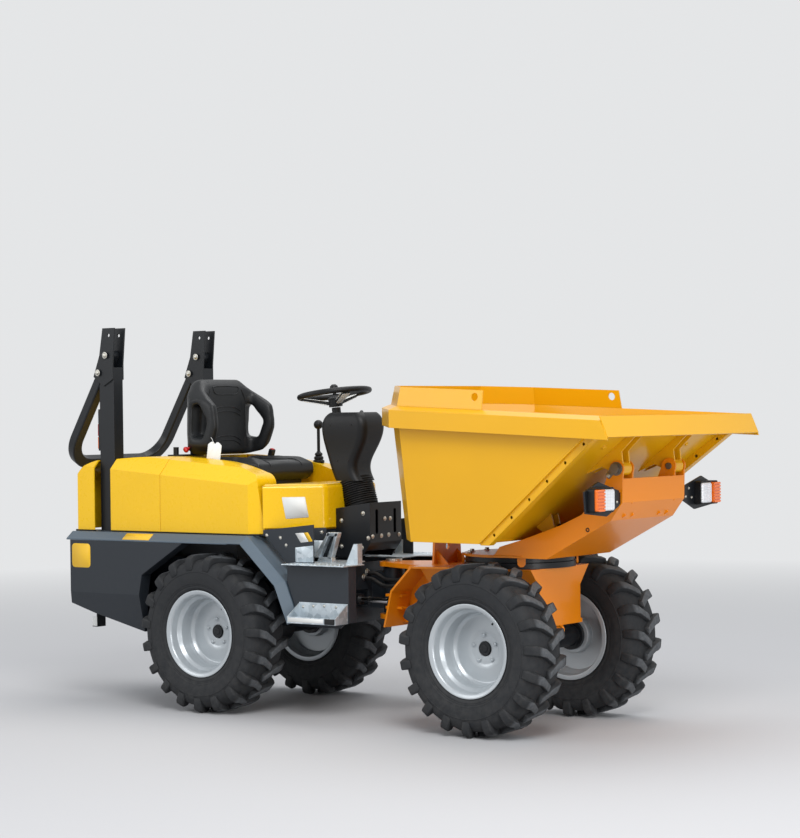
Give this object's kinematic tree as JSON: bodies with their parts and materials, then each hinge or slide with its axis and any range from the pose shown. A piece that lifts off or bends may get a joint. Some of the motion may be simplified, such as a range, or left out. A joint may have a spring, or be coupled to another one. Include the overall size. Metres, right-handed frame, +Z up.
{
  "type": "articulated site dumper",
  "caption": "Articulated site dumper with a swivelling front-tipping skip, lugged tyres, an open driver seat and a folding roll-over hoop.",
  "frame": {"origin": "on the ground, below the middle of the machine (bounding box bottom centre)", "axes": "+X forward, towards the skip; +Y to the machine left; +Z up"},
  "size_m": [3.525, 1.34, 1.902],
  "materials": {
    "chassis_dark": "satin dark grey paint",
    "galvanised": "galvanised, spangled",
    "black_metal": "satin black paint",
    "engine_block": "plain block",
    "bonnet_yellow": "gloss yellow paint",
    "skip_yellow": "gloss yellow paint",
    "frame_orange": "gloss orange-yellow paint",
    "seat_vinyl": "moulded black vinyl",
    "black_plastic": "grained",
    "bellows_rubber": "matt",
    "zinc_steel": "zinc plated",
    "chrome_rod": "polished",
    "lamp_white": "clear ribbed lens",
    "lamp_amber": "amber ribbed lens",
    "lamp_red": "red ribbed lens",
    "tyre_rubber": "matt",
    "rim_silver": "silver paint"
  },
  "bodies": {
    "chassis": {"rear_frame": "chassis_dark", "rear_body": "chassis_dark", "fenders": "chassis_dark", "side_boxes": "chassis_dark", "deck_plates": "galvanised", "steps": "galvanised", "tow_bracket": "black_metal", "rear_lamps": "lamp_red", "engine": "engine_block", "rear_axle": "black_metal", "bonnet": "bonnet_yellow", "pedestal": "bonnet_yellow", "posts": "black_metal", "seat_base": "black_metal", "seat_cushion": "seat_vinyl", "seat_back": "seat_vinyl", "console": "black_plastic", "column_base": "black_metal", "column_bellows": "bellows_rubber", "column_cowl": "black_plastic", "drive_lever": "black_plastic"},
    "hoop": {"hoop": "black_metal"},
    "steering_wheel": {"steering_wheel": "black_plastic"},
    "front_frame": {"front_frame": "frame_orange", "front_axle": "black_metal", "pivot_pin": "zinc_steel", "skip_rest": "frame_orange", "ring_lower": "black_metal"},
    "carrier": {"ring_upper": "black_metal", "turntable": "frame_orange", "carrier": "frame_orange", "hinge_pins": "zinc_steel", "lamp_brackets": "black_metal", "lamp_housings": "black_plastic", "indicators": "lamp_amber", "lamps": "lamp_white"},
    "skip": {"skip_tub": "skip_yellow", "skip_rim": "skip_yellow", "skip_boards": "skip_yellow", "skip_ribs": "skip_yellow"},
    "tip_barrels": {"tip_barrels": "black_metal"},
    "tip_rods": {"tip_rods": "chrome_rod"},
    "steer_barrel": {"steer_barrel": "black_metal"},
    "steer_rod": {"steer_rod": "chrome_rod"},
    "wheel_front_right": {"tyre_front_right": "tyre_rubber", "rim_front_right": "rim_silver"},
    "wheel_front_left": {"tyre_front_left": "tyre_rubber", "rim_front_left": "rim_silver"},
    "wheel_rear_right": {"tyre_rear_right": "tyre_rubber", "rim_rear_right": "rim_silver"},
    "wheel_rear_left": {"tyre_rear_left": "tyre_rubber", "rim_rear_left": "rim_silver"}
  },
  "joints": [
    {"name": "articulation", "type": "hinge", "parent": "chassis", "child": "front_frame", "pos_m": [0.13651, 0, 0.6], "axis": [0, 0, 1], "range_deg": [-32, 32]},
    {"name": "skip_slew", "type": "hinge", "parent": "front_frame", "child": "carrier", "pos_m": [0.86951, 0, 0.763], "axis": [0, 0, 1], "range_deg": [-90, 90]},
    {"name": "skip_tip", "type": "hinge", "parent": "carrier", "child": "skip", "pos_m": [1.56151, 0, 1.195], "axis": [0, 1, 0], "range_deg": [0, 70]},
    {"name": "tip_ram_swing", "type": "hinge", "parent": "carrier", "child": "tip_barrels", "pos_m": [1.48951, 0, 1], "axis": [0, 1, 0], "range_deg": [-1, 72.95]},
    {"name": "tip_ram_slide", "type": "slide", "parent": "tip_barrels", "child": "tip_rods", "axis": [-0.961, 0, -0.2766], "range_m": [-0.002, 0.2406]},
    {"name": "steer_ram_swing", "type": "hinge", "parent": "chassis", "child": "steer_barrel", "pos_m": [-0.24049, -0.13, 0.56], "axis": [0, 0, 1], "range_deg": [-9.5, 9.5]},
    {"name": "steer_ram_slide", "type": "slide", "parent": "steer_barrel", "child": "steer_rod", "axis": [0.993, -0.118, 0], "range_m": [-0.096, 0.096]},
    {"name": "steering_turn", "type": "hinge", "parent": "chassis", "child": "steering_wheel", "pos_m": [-0.21849, 0, 1.549], "axis": [-0.1305, 0, 0.9914], "continuous": true},
    {"name": "hoop_fold", "type": "hinge", "parent": "chassis", "child": "hoop", "pos_m": [-1.39949, 0, 1.763], "axis": [0, 1, 0], "range_deg": [0, 159]},
    {"name": "wheel_front_right_spin", "type": "hinge", "parent": "front_frame", "child": "wheel_front_right", "pos_m": [0.93351, -0.415, 0.3875], "axis": [0, 1, 0], "continuous": true},
    {"name": "wheel_front_left_spin", "type": "hinge", "parent": "front_frame", "child": "wheel_front_left", "pos_m": [0.93351, 0.415, 0.3875], "axis": [0, 1, 0], "continuous": true},
    {"name": "wheel_rear_right_spin", "type": "hinge", "parent": "chassis", "child": "wheel_rear_right", "pos_m": [-0.66049, -0.415, 0.3875], "axis": [0, 1, 0], "continuous": true},
    {"name": "wheel_rear_left_spin", "type": "hinge", "parent": "chassis", "child": "wheel_rear_left", "pos_m": [-0.66049, 0.415, 0.3875], "axis": [0, 1, 0], "continuous": true}
  ],
  "couplings": [
    {"joint": "tip_ram_swing", "follows": "skip_tip", "ratio": 1.0078},
    {"joint": "tip_ram_slide", "follows": "skip_tip", "m_per_rad": 0.19515},
    {"joint": "steer_ram_swing", "follows": "articulation", "ratio": 0.28128},
    {"joint": "steer_ram_slide", "follows": "articulation", "m_per_rad": 0.1701}
  ]
}
